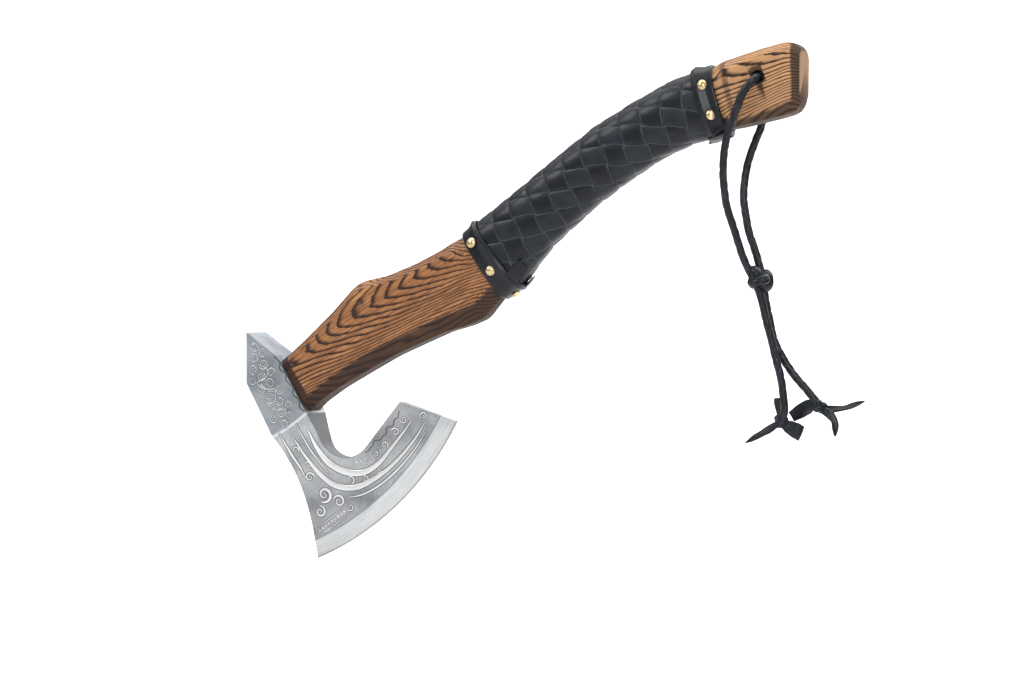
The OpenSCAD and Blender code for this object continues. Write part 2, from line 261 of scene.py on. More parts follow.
def smoothPath(points, gap):  # even points along a Catmull-Rom curve
    points = [Vector(p) for p in points]
    ends = [2 * points[0] - points[1], *points, 2 * points[-1] - points[-2]]
    fine = []
    for i in range(1, len(ends) - 2):
        p0, p1, p2, p3 = ends[i - 1:i + 3]
        for k in range(16):
            t = k / 16
            fine.append(0.5 * (2 * p1 + (p2 - p0) * t + (2 * p0 - 5 * p1 + 4 * p2 - p3) * t * t
                               + (3 * p1 - p0 - 3 * p2 + p3) * t * t * t))
    fine.append(points[-1])
    lengths = [0.0]
    for a, b in zip(fine, fine[1:]):
        lengths.append(lengths[-1] + (b - a).length)
    count = max(2, round(lengths[-1] / gap))
    out, j = [], 0
    for k in range(count + 1):
        want = lengths[-1] * k / count
        while j < len(fine) - 2 and lengths[j + 1] < want:
            j += 1
        span = lengths[j + 1] - lengths[j]
        out.append(fine[j].lerp(fine[j + 1], (want - lengths[j]) / span if span > 0 else 0))
    return out


def carriedFrames(path, closed=False):  # tangent and two sides that don't spin
    count = len(path)
    frames, side = [], None
    for i in range(count):
        before = path[i - 1] if i or closed else path[0]
        after = path[(i + 1) % count] if i < count - 1 or closed else path[-1]
        along = (after - before).normalized()
        if side is None:
            side = along.cross(Vector((0.2, 0.3, 1))).normalized()
        side = (side - along * side.dot(along)).normalized()
        frames.append((along, side, along.cross(side)))
    return frames


def tubeFaces(rings, sides, closed=False, start=0):
    faces = []
    for i in range(rings if closed else rings - 1):
        for j in range(sides):
            a = start + i * sides + j
            b = start + i * sides + (j + 1) % sides
            c = start + ((i + 1) % rings) * sides + (j + 1) % sides
            d = start + ((i + 1) % rings) * sides + j
            faces.append((a, b, c, d))
    if not closed:
        faces.append(tuple(start + j for j in reversed(range(sides))))
        faces.append(tuple(start + (rings - 1) * sides + j for j in range(sides)))
    return faces


# lanyard: two plaited legs from the hole, through the knot, to the end knots
lanyard = {
    "diameter": 0.0056, "plaitPitch": 0.026, "strandHalfWidth": 0.0024, "strandHalfThickness": 0.00068,
    "strandReach": 0.0019, "strandWave": 0.0002, "strandBow": 0.0005, "leanAcross": 0.86, "leanAlong": 0.5,
    "strandSides": 10, "core": 0.0019, "coreSides": 8, "ringGap": 0.0011, "knotRings": 150,
    "front": [
        (0.3255, 0, 0.326), (0.3255, -0.009, 0.326), (0.3254, -0.014, 0.3259), (0.3236, -0.0175, 0.3236),
        (0.3204, -0.0186, 0.3198), (0.3166, -0.0188, 0.314), (0.313, -0.0188, 0.3055),
        (0.3096, -0.0188, 0.2965),
        (0.306, -0.0186, 0.2855), (0.3041, -0.018, 0.277), (0.3034, -0.017, 0.2675), (0.303, -0.0156, 0.258),
        (0.3036, -0.0134, 0.247), (0.3054, -0.011, 0.237), (0.3079, -0.0086, 0.227),
        (0.3106, -0.0064, 0.2174),
        (0.3132, -0.0048, 0.208), (0.3166, -0.0036, 0.2), (0.321, -0.003, 0.192), (0.324, -0.003, 0.184),
        (0.3273, -0.003, 0.172), (0.3306, -0.003, 0.159), (0.334, -0.003, 0.1462), (0.3374, -0.003, 0.1332),
        (0.3399, -0.003, 0.1202), (0.3408, -0.003, 0.1089), (0.3384, -0.003, 0.1015),
    ],
    "back": [
        (0.3255, 0, 0.326), (0.3255, 0.009, 0.326), (0.3254, 0.014, 0.3259), (0.324, 0.0175, 0.3232),
        (0.3226, 0.0186, 0.318), (0.3214, 0.0188, 0.309), (0.3184, 0.0188, 0.297), (0.3146, 0.0186, 0.2878),
        (0.3112, 0.018, 0.278), (0.3084, 0.017, 0.2681), (0.3074, 0.0154, 0.2583), (0.3078, 0.013, 0.2467),
        (0.3098, 0.0106, 0.2368), (0.313, 0.0084, 0.2253), (0.317, 0.0062, 0.2153), (0.3206, 0.0044, 0.206),
        (0.323, 0.0032, 0.198), (0.3244, 0.003, 0.19), (0.3258, 0.003, 0.182), (0.3284, 0.003, 0.169),
        (0.3318, 0.003, 0.1547), (0.3386, 0.003, 0.1413), (0.3457, 0.003, 0.1315), (0.3542, 0.003, 0.1218),
        (0.3626, 0.003, 0.112),
    ],
    "loopKnot": (0.3229, 0, 0.1943), "leftKnot": (0.3384, -0.003, 0.1015), "rightKnot": (0.363, 0.003, 0.111),
}


def plait(path, look, closed=False, scale=1.0):  # four flat strands, two each way, crossing over and under
    frames = carriedFrames(path, closed)
    travelled = [0.0]
    for a, b in zip(path, path[1:]):
        travelled.append(travelled[-1] + (b - a).length)
    whole = travelled[-1] + ((path[0] - path[-1]).length if closed else 0)
    turns = whole / (look["plaitPitch"] * scale)
    turns = max(1, round(turns)) if closed else turns
    verts, faces = [], []
    sides = look["strandSides"]
    for strand in range(4):
        way = 1 if strand < 2 else -1
        start = len(verts)
        for i, centre in enumerate(path):
            along, side, up = frames[i]
            swing = 2 * math.pi * turns * travelled[i] / whole
            angle = way * swing + math.pi * (strand % 2) + (math.pi / 2 if way < 0 else 0)
            crossing = math.cos(2 * swing + math.pi * (strand % 2 + (0 if way > 0 else 1)))
            outward = side * math.cos(angle) + up * math.sin(angle)
            across = along.cross(outward)
            lean = (across * look["leanAcross"] - along * (look["leanAlong"] * way)).normalized()
            middle = centre + outward * (look["strandReach"] + look["strandWave"] * crossing) * scale
            for k in range(sides):
                turn = 2 * math.pi * k / sides
                wide = math.copysign(abs(math.cos(turn)) ** 0.7, math.cos(turn))
                thick = math.copysign(abs(math.sin(turn)) ** 0.8, math.sin(turn))
                bow = -look["strandBow"] * wide * wide * scale
                verts.append(middle + lean * wide * look["strandHalfWidth"] * scale
                             + outward * (thick * look["strandHalfThickness"] * scale + bow))
        faces += tubeFaces(len(path), sides, closed, start)
    start, sides = len(verts), look["coreSides"]
    for centre, (along, side, up) in zip(path, frames):
        for k in range(sides):
            turn = math.tau * k / sides
            verts.append(centre + (side * math.cos(turn) + up * math.sin(turn)) * look["core"] * scale)
    faces += tubeFaces(len(path), sides, closed, start)
    return verts, faces


def faceOutward(piece):  # makes every closed shell face out
    work = bmesh.new()
    work.from_mesh(piece.data)
    bmesh.ops.remove_doubles(work, verts=work.verts, dist=1e-7)
    bmesh.ops.recalc_face_normals(work, faces=work.faces)
    work.to_mesh(piece.data)
    work.free()


def buildCord(name, node, points):
    path = smoothPath(points, lanyard["ringGap"])
    verts, faces = plait(path, lanyard)
    cord = addPiece(name, verts, faces, cordLeather)
    faceOutward(cord)
    length = sum((b - a).length for a, b in zip(path, path[1:]))
    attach(cord, "lanyard")
    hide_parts(node)
    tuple(points[0])
    [tuple(p) for p in path]
    print(name, "length", round(length, 4))


def buildKnot(name, node, centre, reach, thickness, flatten, tilt):  # one cord tied into a three-lobed knot
    path = []
    for i in range(lanyard["knotRings"]):
        t = 2 * math.pi * i / lanyard["knotRings"]
        lobe = Vector((math.sin(t) + 2 * math.sin(2 * t), math.cos(t) - 2 * math.cos(2 * t),
                       -1.35 * math.sin(3 * t)))
        lobe = Vector((lobe.x, lobe.y, lobe.z * flatten)) * (reach / 3)
        lobe.rotate(tilt)
        path.append(Vector(centre) + lobe)
    verts, faces = plait(path, lanyard, closed=True, scale=thickness / (lanyard["diameter"] / 2))
    knot = addPiece(name, verts, faces, cordLeather)
    faceOutward(knot)
    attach(knot, "lanyard")
    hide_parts(node)
    return knot


knotShapes = [  # name, node, centre, reach, thickness, flatness, tilt
    ("loopKnot", "lanyard_knot", lanyard["loopKnot"], 0.0068, 0.0037, 1.0, (0.35, 0.5, 0.3)),
    ("leftEndKnot", "left_end_knot", lanyard["leftKnot"], 0.0032, 0.0021, 1.1, (1.2, 0.3, 0.2)),
    ("rightEndKnot", "right_end_knot", lanyard["rightKnot"], 0.0032, 0.0021, 1.1, (0.9, 0.9, 0.1)),
]
loopKnot, leftKnot, rightKnot = [buildKnot(*shape, Euler(tilt)) for *shape, tilt in knotShapes]

# cut leather ends: spine points, widths along the spine, and the turn of the flat side
tasselEnds = {
    "thickness": 0.0013, "cup": 0.0007, "twist": 1.6, "ringGap": 0.0009,
    "ends": [
        ("tasselLeftLong", "tassel_left_long",
         [(337, -4.6, 100), (330, -5.2, 96), (322, -5.4, 91.5), (315, -5, 87)],
         [3.8, 5.8, 4.4, 0.9], 0.6),
        ("tasselLeftLeaf", "tassel_left_leaf",
         [(338.5, -2.4, 100), (342.5, -1.6, 98), (347.5, -1.4, 95.6), (352.4, -2.4, 93.5)],
         [4, 8.6, 10.4, 10.2], 0.25),
        ("tasselLeftShort", "tassel_left_short",
         [(337.5, 0.4, 104), (336.6, 1.6, 108), (335.6, 2.0, 112), (335, 1.8, 116.6)],
         [3.6, 5.4, 6.0, 5.0], 0.3),
        ("tasselRightFold", "tassel_right_fold",
         [(361.5, 4.8, 111), (356.5, 6.0, 111.5), (350, 6.4, 108.2), (343, 6.0, 104)],
         [5, 9.6, 9.4, 7.0], -0.12),
        ("tasselRightTip", "tassel_right_tip",
         [(365, 3.4, 110), (372, 3.0, 109.2), (381, 3.2, 110.2), (393, 3.8, 115)],
         [4.0, 5.6, 5.2, 0.7], 0.7),
        ("tasselRightDrop", "tassel_right_drop",
         [(365.5, 1.2, 109), (371, 0.4, 106.5), (374.6, 0.2, 101), (374.2, 0.8, 92)],
         [4.2, 8.2, 6.6, 0.8], -0.5),
    ],
}


def widthAt(widths, t):  # width at a share t of the way along
    share = t * (len(widths) - 1)
    low = min(int(share), len(widths) - 2)
    return widths[low] + (widths[low + 1] - widths[low]) * (share - low)


def buildTassels(look):
    for name, node, spine, widths, curl in look["ends"]:
        path = smoothPath([Vector(p) * mm for p in spine], look["ringGap"])
        verts, count = [], len(path)
        for i, spot in enumerate(path):
            width = widthAt(widths, i / (count - 1)) * mm / 2
            along = (path[min(i + 1, count - 1)] - path[max(i - 1, 0)]).normalized()
            flat = Vector((0, -1, 0))
            across = along.cross(flat).normalized()
            flat = across.cross(along)
            turn = curl * math.sin(math.pi * i / (count - 1)) * look["twist"]
            c, s = math.cos(turn), math.sin(turn)
            across, flat = across * c + flat * s, flat * c - across * s
            half = look["thickness"] / 2
            for side, steps in ((1, range(-3, 4)), (-1, range(3, -4, -1))):
                for k in steps:
                    cup = flat * (look["cup"] * (k / 3) ** 2)
                    verts.append(spot + across * width * k / 3 + cup + flat * (side * half))
        tassel = addPiece(name, verts, tubeFaces(count, 14), tasselLeather, smooth=False)
        faceOutward(tassel)
        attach(tassel, "lanyard")
        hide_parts(node)
        yield tassel


tassels = list(buildTassels(tasselEnds))
buildCord("lanyardFrontCord", "lanyard_front_cord", lanyard["front"])
buildCord("lanyardBackCord", "lanyard_back_cord", lanyard["back"])
print("lanyard done")

# handle: sections from the head to the butt, [top x, top z, bottom x, bottom z, half thickness,
# top bevel, bottom bevel, roundness], in mm
handle = {
    "sections": [
        (-23.3, 138.6, -2.3, 103.4, 12.5, 4, 6, 0), (-17, 143, 4, 109.5, 13.5, 4, 7, 0),
        (-4.5, 154, 19, 119.5, 14, 5, 8, 0), (16, 172.5, 43, 132.5, 14, 5, 9, 0),
        (33.5, 190.5, 57, 140, 14, 5, 9, 0), (41, 194, 64, 143.5, 14, 5, 9, 0),
        (58, 197.5, 84, 152, 14, 5, 9, 0), (78, 205, 101, 159, 14, 5, 9.5, 0),
        (97, 214, 117.5, 163.5, 14, 5, 10, 0), (106, 219.5, 128.5, 168, 14, 5, 10, 0.1),
        (113, 224.5, 142, 182.5, 13.4, 6, 9, 1), (124, 232, 154.5, 193.5, 13, 6, 9, 1),
        (149.8, 250.5, 175.6, 219.4, 13, 6, 9, 1), (184.6, 277, 208.4, 247.1, 13, 6, 9, 1),
        (209.9, 295.4, 231, 262.6, 13, 6, 9, 1), (235.8, 309.9, 254.8, 277.1, 13, 6, 9, 1),
        (261.2, 323, 277.6, 286.6, 13, 6, 9, 1), (278, 329, 290.5, 289, 13, 6, 9, 1),
        (292.5, 334, 304.5, 292.5, 13.3, 6, 9, 1), (299, 337, 310, 294, 13.5, 5, 4, 0.2),
        (325.3, 344.4, 336, 299.5, 13.5, 5, 6, 0), (343.5, 348.7, 346, 301.8, 13.5, 5, 8, 0),
        (350, 347.5, 351, 304.5, 12.2, 5, 8, 0), (353.5, 342.5, 353, 309, 10, 4, 6, 0),
    ],
    "grip": (10, 18), "power": 0.78, "edgeRound": 0.9, "kinkSoftness": 2.2, "ringGap": 2.4,
    "hole": (325.5, 326, 4.25), "eye": (-26.9, 114.4, 30.8), "tenon": (-15.5, 22, 20, 38),
    "cornerAngles": (15, 62, 118, 165, 195, 242, 298, 345),
}


def between(a, b, t):
    return [p + (q - p) * t for p, q in zip(a, b)]


def sectionLengths(sections):
    lengths = [0.0]
    for p, q in zip(sections, sections[1:]):
        dx, dz = (q[0] + q[2] - p[0] - p[2]) / 2, (q[1] + q[3] - p[1] - p[3]) / 2
        lengths.append(lengths[-1] + math.hypot(dx, dz))
    return lengths


stationAt = sectionLengths(handle["sections"])


def sectionAt(run):
    i = 0
    while i < len(stationAt) - 2 and stationAt[i + 1] < run:
        i += 1
    share = (run - stationAt[i]) / (stationAt[i + 1] - stationAt[i])
    return between(handle["sections"][i], handle["sections"][i + 1], share)


def softSection(run):  # kinks rounded a little along the handle
    w = min(handle["kinkSoftness"], run, stationAt[-1] - run)
    three = [sectionAt(run - w), sectionAt(run), sectionAt(run + w)]
    return [a * 0.25 + b * 0.5 + c * 0.25 for a, b, c in zip(*three)]


def sectionAxes(q):  # middle of a section, and its upward direction
    middle = Vector(((q[0] + q[2]) / 2, 0, (q[1] + q[3]) / 2))
    return middle, Vector((q[0] - q[2], 0, q[1] - q[3])).normalized()


def place(q, up, across):
    middle, rise = sectionAxes(q)
    return middle + rise * up + Vector((0, across, 0))


def halfDepth(q):
    return math.hypot(q[0] - q[2], q[1] - q[3]) / 2


def signedPower(value):
    return math.copysign(abs(value) ** handle["power"], value)


def roundSpot(q, degrees, out=0.0):
    angle = math.radians(degrees)
    up = (halfDepth(q) + out) * signedPower(math.cos(angle))
    return place(q, up, -(q[4] + out) * signedPower(math.sin(angle)))


def bevelCorners(q):
    h = halfDepth(q)
    ups = [h, h - q[5], -h + q[6], -h]
    acrosses = [q[4] - q[5], q[4], q[4], q[4] - 0.7 * q[6]]
    near = [place(q, ups[k], -acrosses[k]) for k in range(4)]
    return near + [place(q, ups[k], acrosses[k]) for k in (3, 2, 1, 0)]


def handleRing(q):  # five points round each of the eight corners, and one halfway to the next
    corners, angles, edge = bevelCorners(q), handle["cornerAngles"], handle["edgeRound"]
    ring = []
    for k in range(8):
        last, here, after = corners[k - 1], corners[k], corners[(k + 1) % 8]
        lastAngle = angles[k - 1] - (360 if k == 0 else 0)
        afterAngle = angles[(k + 1) % 8] + (360 if k == 7 else 0)
        middle = (last + after) / 2
        for reach, pull in ((2.3, 0), (1.0, 0), (0, 1), (1.0, 0), (2.3, 0)):
            target, turn = (last, lastAngle) if len(ring) % 6 < 2 else (after, afterAngle)
            length = (target - here).length
            share = min(0.45, reach * edge / length) if length > 0 else 0
            spot = here.lerp(target, share)
            if pull:
                spot = here.lerp(middle, min(0.2, 0.24 * edge / max(0.5, (middle - here).length)))
            ring.append(spot.lerp(roundSpot(q, angles[k] + (turn - angles[k]) * share), q[7]))
        ring.append(((here + after) / 2).lerp(roundSpot(q, (angles[k] + afterAngle) / 2), q[7]))
    return ring


def wholeRuns():
    count = round(stationAt[-1] / handle["ringGap"])
    runs = [stationAt[-1] * i / count for i in range(count + 1)]
    return sorted(set(runs + [stationAt[-1] - 0.8, stationAt[-1] - 1.6]))


def stadiumRing(x, width, height, grow=0.0):  # outline of the eye, in the eye's own frame
    half, r = (height - width) / 2, width / 2 + grow
    ring = []
    for i in range(48):
        a = 2 * math.pi * i / 48
        ring.append((x, r * math.cos(a), r * math.sin(a) + (half if math.sin(a) >= 0 else -half)))
    return ring


def fromEye(x, y, z):
    ex, ez, tilt = handle["eye"]
    c, s = math.cos(math.radians(tilt)), math.sin(math.radians(tilt))
    return Vector((ex + c * x - s * z, y, ez + s * x + c * z))


def woodMaterial():
    look = {"ring": 1.3, "tilt": 0.105, "heart": 7.0, "knot": (0.0405, -0.014, 0.1795)}
    paint = Paint("scorchedAsh", Specular_IOR_Level=0.22, Coat_Weight=0.05, Coat_Roughness=0.3)
    turned = {0: paint.place, 1: (0, 0, 0), 2: (0, math.radians(31), 0), 3: (1000, 1000, 1000)}
    local = paint.node("ShaderNodeMapping", None, turned)
    x, y, z = (paint.axis(letter, local) for letter in "XYZ")
    slow = paint.noise(1.0, 2.0, 0.5, paint.vector(x * 0.008, y * 0.03, z * 0.03))
    wavy = paint.noise(1.0, 3.0, 0.55, paint.vector(x * 0.009, y * 0.09, z * 0.1))
    up = z - 134.0 + slow * 16.0
    deep = y - look["heart"]
    radius = (up * up * 0.8 + deep * deep) ** 0.5
    rings = (radius - x * look["tilt"] + wavy * 2.4 + slow * 4.5) / look["ring"]
    phase = rings.fraction()
    early = phase.step(0.42, 0.86) - phase.step(0.88, 1.0)
    dark = early * (0.5 + paint.noise(1.0, 2.0, 0.5, paint.vector(x * 0.01, y * 0.05, z * 0.05)) * 0.95)
    fibre = paint.noise(1.0, 4.0, 0.7, paint.vector(x * 0.035, y * 1.6, z * 1.6))
    pores = paint.noise(1.0, 2.0, 0.6, paint.vector(x * 0.16, y * 3.4, z * 3.4))
    pore = pores.step(0.56, 0.68) * (0.25 + early * 0.75)
    tones = [(0.25, (0.07, 0.027, 0.011)), (0.48, (0.2, 0.083, 0.032)), (0.72, (0.46, 0.215, 0.085))]
    base = paint.ramp(fibre, tones)
    butt = x.step(330.0, 420.0)
    base = paint.blend(butt * 0.5, base, (0.5, 0.29, 0.14))
    glow = paint.noise(1.0, 2.0, 0.5, paint.vector(x * 0.012, y * 0.05, z * 0.07)).step(0.5, 0.72)
    base = paint.blend(glow * 0.4, base, (0.6, 0.3, 0.1))
    colour = paint.blend(dark * 1.15, base, (0.02, 0.009, 0.006))
    colour = paint.blend(pore * 0.75, colour, (0.03, 0.014, 0.009))
    ends = {0: paint.place, 1: look["knot"]}
    fromKnot = paint.node("ShaderNodeVectorMath", {"operation": "DISTANCE"}, ends, "Value")
    knot = (fromKnot + wavy * 0.002).step(0.0045, 0.001)
    colour = paint.blend(knot * 0.9, colour, (0.02, 0.01, 0.007))
    # scorch: real scorching, with painted shade on the lower chamfer, along the top edge and where the wood
    # meets the head, all painted near-black
    scorch = paint.attribute("scorch")
    patchy = paint.noise(1.0, 3.0, 0.6, paint.vector(x * 0.03, y * 0.2, z * 0.2))
    burnAndShade = (scorch * (0.85 + 0.5 * patchy)).step(0.25, 0.75)
    colour = paint.blend(burnAndShade * (0.88 + dark * 0.12), colour, (0.018, 0.009, 0.007))
    rough = 0.42 + fibre * 0.16 + pore * 0.18 + burnAndShade * 0.25
    height = fibre * 0.5 - pore * 0.9 - dark * 0.3
    return paint.connect(Base_Color=colour, Roughness=rough, Normal=paint.bump(height, 0.35, 0.0003))


def limited(value):
    return max(0.0, min(1.0, value))


def scorchAndShadeAt(run, q, spot):  # how dark a place on the surface is painted: real scorching, with painted shade on the lower chamfer, along the top edge and where the wood leaves the head; also darker near the butt end and beside the grip
    middle, rise = sectionAxes(q)
    first, last = handle["grip"]
    up = (spot - middle).dot(rise)
    low = -halfDepth(q)
    # lower chamfer: real scorching together with painted shade on the downward face
    under = limited((low + q[6] + 3.5 - up) / 6)
    # top edge: painted shade
    top = limited((up - (-low - q[5] * 0.55)) / 2.0) * 0.42
    end = limited((run - (stationAt[-1] - 7)) / 3) * (1 - limited((run - (stationAt[-1] - 0.6)) / 0.5))
    # painted shade in the gap where the wood leaves the head
    root = limited((9 - run) / 6) * 0.9
    nearGrip = max(0.0, 1 - abs(run - stationAt[last + 1]) / 6) * 0.5
    chamfer = under * (0.92 if run < stationAt[first] else 0.7)
    return max(chamfer, top, end * 0.72, root, nearGrip)


def nearestRun(spot):  # distance along the handle of the section plane through a point
    best, found = 1e9, 0.0
    for i in range(len(stationAt) - 1):
        for t in (0.0, 0.25, 0.5, 0.75, 1.0):
            run = stationAt[i] + (stationAt[i + 1] - stationAt[i]) * t
            q = sectionAt(run)
            middle, rise = sectionAxes(q)
            along = Vector((rise.z, 0, -rise.x))
            away = spot - middle
            off = abs(away.dot(along)) + max(0.0, abs(away.dot(rise)) - halfDepth(q) - 1) * 3
            if off < best:
                best, found = off, run
    return found


def evaluatedMesh(piece):
    bpy.context.view_layer.update()
    return bpy.data.meshes.new_from_object(piece.evaluated_get(bpy.context.evaluated_depsgraph_get()))


def applyBoolean(piece, cutter, operation):
    modifier = piece.modifiers.new("join", "BOOLEAN")
    modifier.operation = operation
    modifier.solver = "EXACT"
    modifier.object = cutter
    result = evaluatedMesh(piece)
    piece.modifiers.remove(modifier)
    old, piece.data = piece.data, result
    bpy.data.meshes.remove(old)
    bpy.data.objects.remove(cutter)


def buildHandle():
    material = woodMaterial()
    runs = wholeRuns()
    verts = [spot * mm for run in runs for spot in handleRing(softSection(run))]
    sides = len(verts) // len(runs)
    body = addPiece("handleWood", verts, tubeFaces(len(runs), sides), material)
    faceOutward(body)
    start, end, width, height = handle["tenon"]
    stops = [(start, -0.8), (start + 0.8, -0.12)]
    stops += [(start + (end - start) * i / 10, -0.12) for i in range(1, 11)]
    rings = [fromEye(*spot) * mm for x, grow in stops for spot in stadiumRing(x, width, height, grow)]
    tenon = addPiece("tenon", rings, tubeFaces(len(stops), 48), material)
    faceOutward(tenon)
    hx, hz, radius = handle["hole"]
    profile = [(-30, 1.0), (-14.1, 1.0), (-13.2, 0), (13.2, 0), (14.1, 1.0), (30, 1.0)]
    rings = []
    for y, grow in profile:
        for turn in [math.tau * i / 40 for i in range(40)]:
            reach = radius + grow
            rings.append(Vector((hx + reach * math.cos(turn), y, hz + reach * math.sin(turn))) * mm)
    cutter = addPiece("holeCutter", rings, tubeFaces(len(profile), 40), material)
    faceOutward(cutter)
    applyBoolean(body, tenon, "UNION")
    applyBoolean(body, cutter, "DIFFERENCE")
    body.data.set_sharp_from_angle(angle=math.radians(38))
    # per point: real scorching with painted shade, and darker round the lanyard hole
    layer = body.data.attributes.new("scorch", "FLOAT", "POINT")
    for vertex in body.data.vertices:
        spot = vertex.co / mm
        run = nearestRun(spot)
        around = math.hypot(spot.x - hx, spot.z - hz)
        rim = limited((radius + 1.6 - around) / 1.2)
        layer.data[vertex.index].value = max(scorchAndShadeAt(run, sectionAt(run), spot), rim)
    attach(body, "hatchet")
    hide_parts("handle")


buildHandle()
print("handle done")

# woven grip: eight long strips and two that go round, passing over and under each other
weave = {
    "long": 8, "round": 2, "longRate": 0.0389, "roundRate": 0.0635, "start": 10.5, "end": 196,
    "gap": 0.3, "thickness": 1.05, "swing": 0.55, "fill": 0.955, "ringGap": 1.3, "stepsPerTurn": 100,
    # paintedEdgeHighlight gives, lane by lane, how strongly the strip edges take the painted highlight
    "lanes": [-1, -0.95, -0.84, -0.5, 0, 0.5, 0.84, 0.95, 1], "paintedEdgeHighlight": [1, 0.55, 0, 0, 0, 0, 0, 0.55, 1],
    "spots": 144, "shares": 96,
}
gripStart = stationAt[handle["grip"][0]]
arcTables = {}


def arcTable(v):  # angles at even steps of the way round, one table for each mm along the grip
    if v not in arcTables:
        q = sectionAt(gripStart + v)
        q[7] = 1
        count, degrees = weave["spots"], 360 / weave["spots"]
        spots = [roundSpot(q, degrees * i, 1.5) for i in range(count + 1)]
        lengths = [0.0]
        for a, b in zip(spots, spots[1:]):
            lengths.append(lengths[-1] + (b - a).length)
        table, j = [], 0
        for k in range(weave["shares"] + 1):
            want = lengths[-1] * k / weave["shares"]
            while j < count - 1 and lengths[j + 1] < want:
                j += 1
            table.append(degrees * (j + (want - lengths[j]) / (lengths[j + 1] - lengths[j])))
        arcTables[v] = table
    return arcTables[v]


def gripSpot(u, v, out):  # u goes once round from the top by the front, v is mm along the grip
    share = (u % 1) * weave["shares"]
    k = min(int(share), weave["shares"] - 1)
    low = math.floor(v)
    tables = (arcTable(low), arcTable(low + 1))
    angles = [table[k] + (table[k + 1] - table[k]) * (share - k) for table in tables]
    angle = angles[0] + (angles[1] - angles[0]) * (v - low)
    return roundSpot(sectionAt(gripStart + v), angle, out) * mm


def waveHeight(x):
    s = math.sin(math.pi * x)
    return math.copysign(abs(s) ** 0.48, s)


def stripRing(spotAt, levelAt):  # one cross-section of a strip, outside then inside
    lanes, ring = weave["lanes"], []
    for side in (1, -1):
        for lane in (lanes if side > 0 else reversed(lanes)):
            crown = 1 - 0.6 * abs(lane) ** 8
            dome = 0.15 * (1 - lane ** 4) if side > 0 else 0
            a = 0.5 + lane * weave["fill"] / 2
            ring.append(spotAt(a, levelAt(a) + side * weave["thickness"] / 2 * crown + dome))
    return ring


def buildStrips():
    middle = weave["gap"] + weave["thickness"] + 0.02
    length = weave["end"] - weave["start"]
    for i in range(weave["long"]):
        verts, count = [], round(length / weave["ringGap"])
        for n in range(count + 1):
            v = weave["start"] + length * n / count

            def around(a):
                return (i + a + weave["longRate"] * v) / weave["long"]

            def level(a):
                return middle + weave["swing"] * waveHeight(2 * around(a) + weave["roundRate"] * v + i)

            verts += stripRing(lambda a, out: gripSpot(around(a), v, out), level)
        yield f"longStrip{i + 1}", f"long_strip_{i + 1}", verts, grainLeather
    lead = weave["roundRate"] * weave["start"] / 2
    for j in range(weave["round"]):
        verts = []
        steps = round((weave["roundRate"] * length + 2) / 2 * weave["stepsPerTurn"])
        for n in range(steps + 1):
            u = -n / weave["stepsPerTurn"]

            def along(a):
                v = (j - 1 + a - 2 * u) / weave["roundRate"] + weave["start"]
                return min(max(v, weave["start"]), weave["end"])

            def level(a):
                wave = waveHeight(weave["long"] * (u - lead) - weave["longRate"] * along(a) + j + 1)
                return middle - weave["swing"] * wave

            if along(1) - along(0) < 1.5:
                continue
            verts += stripRing(lambda a, out: gripSpot(u - lead, along(a), out), level)
        yield f"roundStrip{j + 1}", f"round_strip_{j + 1}", verts, strapLeather


ringPoints = 2 * len(weave["lanes"])
for name, node, verts, material in buildStrips():
    strip = addPiece(name, verts, tubeFaces(len(verts) // ringPoints, ringPoints), material)
    faceOutward(strip)
    strip.data.set_sharp_from_angle(angle=math.radians(50))
    rim = strip.data.attributes.new("rim", "FLOAT", "POINT")
    # the rim attribute carries the painted edge highlight to the leather
    pattern = weave["paintedEdgeHighlight"] * 2
    rim.data.foreach_set("value", [pattern[i % ringPoints] for i in range(len(strip.data.vertices))])
    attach(strip, "hatchet")
    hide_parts(node)
print("grip done")

# collars: leather bands with a pressed ridge, and the cut tails of the strips under them
collars = {
    "lower": {
        "profile": [(0.7, 0.5), (0.5, 1.5), (0.9, 2.2), (2, 2.55), (6.4, 2.7), (8.6, 3.2), (10.3, 4.0),
                    (11.6, 4.35),
                    (12.3, 4.85), (12.9, 4.95), (13.4, 4.5), (14, 4.35), (14.7, 4.2), (15.1, 3.7),
                    (15.1, 3.0),
                    (12, 2.8), (9.4, 2.7), (8.2, 0.6)],
        "tails": [(0.40, 13.5, 27, 9.0), (0.53, 12.5, 22, 8.0)],
    },
    "upper": {
        "profile": [(204.6, 0.5), (204.9, 1.5), (204.4, 2.2), (203.4, 2.5), (200.4, 2.65), (198.6, 3.2),
                    (197, 4.0), (195.4, 4.35),
                    (194.7, 4.85), (194.1, 4.95), (193.6, 4.5), (193, 4.35), (191.6, 4.2), (191.1, 3.7),
                    (191.1, 3.0),
                    (194.2, 2.8), (196.6, 2.7), (197.6, 0.6)],
        "tails": [(0.46, 203.5, 189, 8.0), (0.55, 203, 184, 8.0)],
    },
}


gripGirth = 130  # mm round the grip, near enough for the width of a tail


def buildCollar(name, node, look):
    count = 120
    verts = [gripSpot(i / count, v, h) for i in range(count) for v, h in look["profile"]]
    faces = tubeFaces(count, len(look["profile"]), closed=True)
    for u, first, last, width in look["tails"]:
        start = len(verts)
        for n in range(13):
            t = n / 12
            v = first + (last - first) * t
            out = 4.3 + 0.6 * math.sin(math.pi * t * 0.8)
            half = width / 2 / gripGirth * (1 - 0.25 * t ** 3)
            verts += [gripSpot(u + half * k / 2, v, out) for k in (-2, -1, 0, 1, 2)]
            verts += [gripSpot(u + half * k / 2, v, out - 1.2) for k in (2, 1, 0, -1, -2)]
        faces += tubeFaces(13, 10, start=start)
    collar = addPiece(name, verts, faces, collarLeather)
    faceOutward(collar)
    collar.data.set_sharp_from_angle(angle=math.radians(55))
    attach(collar, "hatchet")
    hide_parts(node)


